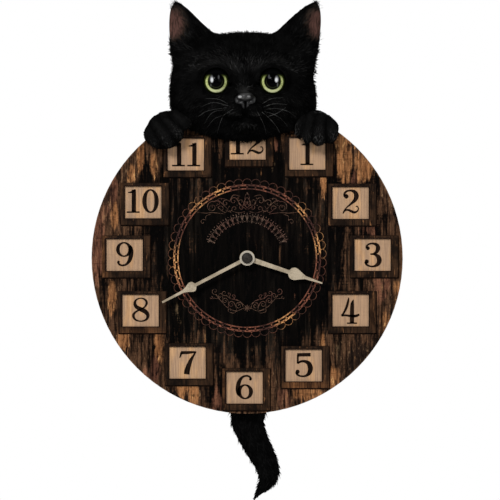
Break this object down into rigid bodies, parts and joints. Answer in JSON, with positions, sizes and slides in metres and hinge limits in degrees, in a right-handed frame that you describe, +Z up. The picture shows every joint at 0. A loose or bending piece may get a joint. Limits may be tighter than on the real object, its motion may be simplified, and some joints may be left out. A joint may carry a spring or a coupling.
{
  "type": "cat tail clock",
  "caption": "Round wall clock with a cat's head and paws over its dial, framed number tiles, two spade hands and a tail that swings below.",
  "frame": {"origin": "on the axis of the hands, in the plane of the wall that the movement's rear cover rests on", "axes": "+X right as seen from the front, -Y out of the wall towards the viewer, +Z up; the hands' axis runs along Y"},
  "size_m": [0.285, 0.063, 0.4566],
  "materials": {
    "stained_wood": "distressed dark stain with brown and reddish streaks, satin varnish",
    "light_wood": "light wood, satin",
    "black_fur": "moulded fur, painted black",
    "eye_glass": "clear dome over a yellow-green iris",
    "cream_paint": "cream enamel",
    "dark_metal": "dark grey, semi-gloss",
    "black_plastic": "fine spark texture",
    "zinc_steel": "zinc plated",
    "brass": "turned",
    "rubber": "matte",
    "battery_wrap": "printed wrap, satin",
    "circuit": "solder mask",
    "copper_wire": "enamelled wire",
    "acetal": "moulded, natural",
    "magnet": "nickel or ferrite"
  },
  "bodies": {
    "clock_body": {"dial_board": "stained_wood", "number_frame_01": "stained_wood", "number_frame_02": "stained_wood", "number_frame_03": "stained_wood", "number_frame_04": "stained_wood", "number_frame_05": "stained_wood", "number_frame_06": "stained_wood", "number_frame_07": "stained_wood", "number_frame_08": "stained_wood", "number_frame_09": "stained_wood", "number_frame_10": "stained_wood", "number_frame_11": "stained_wood", "number_frame_12": "stained_wood", "number_tile_01": "light_wood", "number_tile_02": "light_wood", "number_tile_03": "light_wood", "number_tile_04": "light_wood", "number_tile_05": "light_wood", "number_tile_06": "light_wood", "number_tile_07": "light_wood", "number_tile_08": "light_wood", "number_tile_09": "light_wood", "number_tile_10": "light_wood", "number_tile_11": "light_wood", "number_tile_12": "light_wood", "cat_head": "black_fur", "eye_left": "eye_glass", "eye_right": "eye_glass", "paw_left": "black_fur", "paw_right": "black_fur", "movement_case": "black_plastic", "movement_rear_cover": "black_plastic", "wall_hanger": "zinc_steel", "rubber_gasket": "rubber", "dial_washer": "brass", "bush_nut": "brass", "battery_cell": "battery_wrap", "contact_positive": "zinc_steel", "contact_negative": "zinc_steel", "circuit_board": "circuit", "motor_stator": "zinc_steel", "motor_coil": "copper_wire", "swing_drive_coil": "copper_wire", "train_plate": "acetal", "swing_pin": "zinc_steel"},
    "minute": {"minute_arbor": "brass", "minute_hand": "cream_paint", "hand_nut": "dark_metal"},
    "hour": {"hour_wheel": "acetal", "hour_hand": "cream_paint"},
    "reverse": {"reverse_wheel": "acetal"},
    "centre": {"centre_wheel": "acetal"},
    "third": {"third_wheel": "acetal"},
    "second": {"second_wheel": "acetal"},
    "fifth": {"fifth_wheel": "acetal"},
    "rotor": {"motor_rotor": "magnet"},
    "tail_pendulum": {"tail": "black_fur", "tail_strip": "zinc_steel", "swing_arm": "acetal", "swing_magnet": "magnet"}
  },
  "joints": [
    {"name": "minute_hand_turn", "type": "hinge", "parent": "clock_body", "child": "minute", "pos_m": [0, -0.02, 0], "axis": [0, 1, 0], "continuous": true},
    {"name": "hour_hand_turn", "type": "hinge", "parent": "clock_body", "child": "hour", "pos_m": [0, -0.026, 0], "axis": [0, 1, 0], "continuous": true},
    {"name": "reverse_wheel_turn", "type": "hinge", "parent": "clock_body", "child": "reverse", "pos_m": [-0.01573, -0.012, -0.01101], "axis": [0, 1, 0], "continuous": true},
    {"name": "second_wheel_spin", "type": "hinge", "parent": "clock_body", "child": "second", "pos_m": [0, -0.006, 0], "axis": [0, 1, 0], "continuous": true},
    {"name": "third_wheel_spin", "type": "hinge", "parent": "clock_body", "child": "third", "pos_m": [0.01462, -0.01, -0.01024], "axis": [0, 1, 0], "continuous": true},
    {"name": "centre_wheel_spin", "type": "hinge", "parent": "clock_body", "child": "centre", "pos_m": [0, -0.0115, 0], "axis": [0, 1, 0], "continuous": true},
    {"name": "fifth_wheel_spin", "type": "hinge", "parent": "clock_body", "child": "fifth", "pos_m": [0, -0.004, 0.0126], "axis": [0, 1, 0], "continuous": true},
    {"name": "rotor_spin", "type": "hinge", "parent": "clock_body", "child": "rotor", "pos_m": [-0.01091, -0.005, 0.0189], "axis": [0, 1, 0], "continuous": true},
    {"name": "tail_swing", "type": "hinge", "parent": "clock_body", "child": "tail_pendulum", "pos_m": [0, -0.01, -0.05], "axis": [0, 1, 0], "range_deg": [-12, 12]}
  ],
  "couplings": [
    {"joint": "hour_hand_turn", "follows": "minute_hand_turn", "ratio": 0.083333},
    {"joint": "reverse_wheel_turn", "follows": "minute_hand_turn", "ratio": -0.33333},
    {"joint": "third_wheel_spin", "follows": "second_wheel_spin", "ratio": -0.125},
    {"joint": "centre_wheel_spin", "follows": "second_wheel_spin", "ratio": 0.016667},
    {"joint": "fifth_wheel_spin", "follows": "second_wheel_spin", "ratio": -5},
    {"joint": "rotor_spin", "follows": "second_wheel_spin", "ratio": 30}
  ]
}
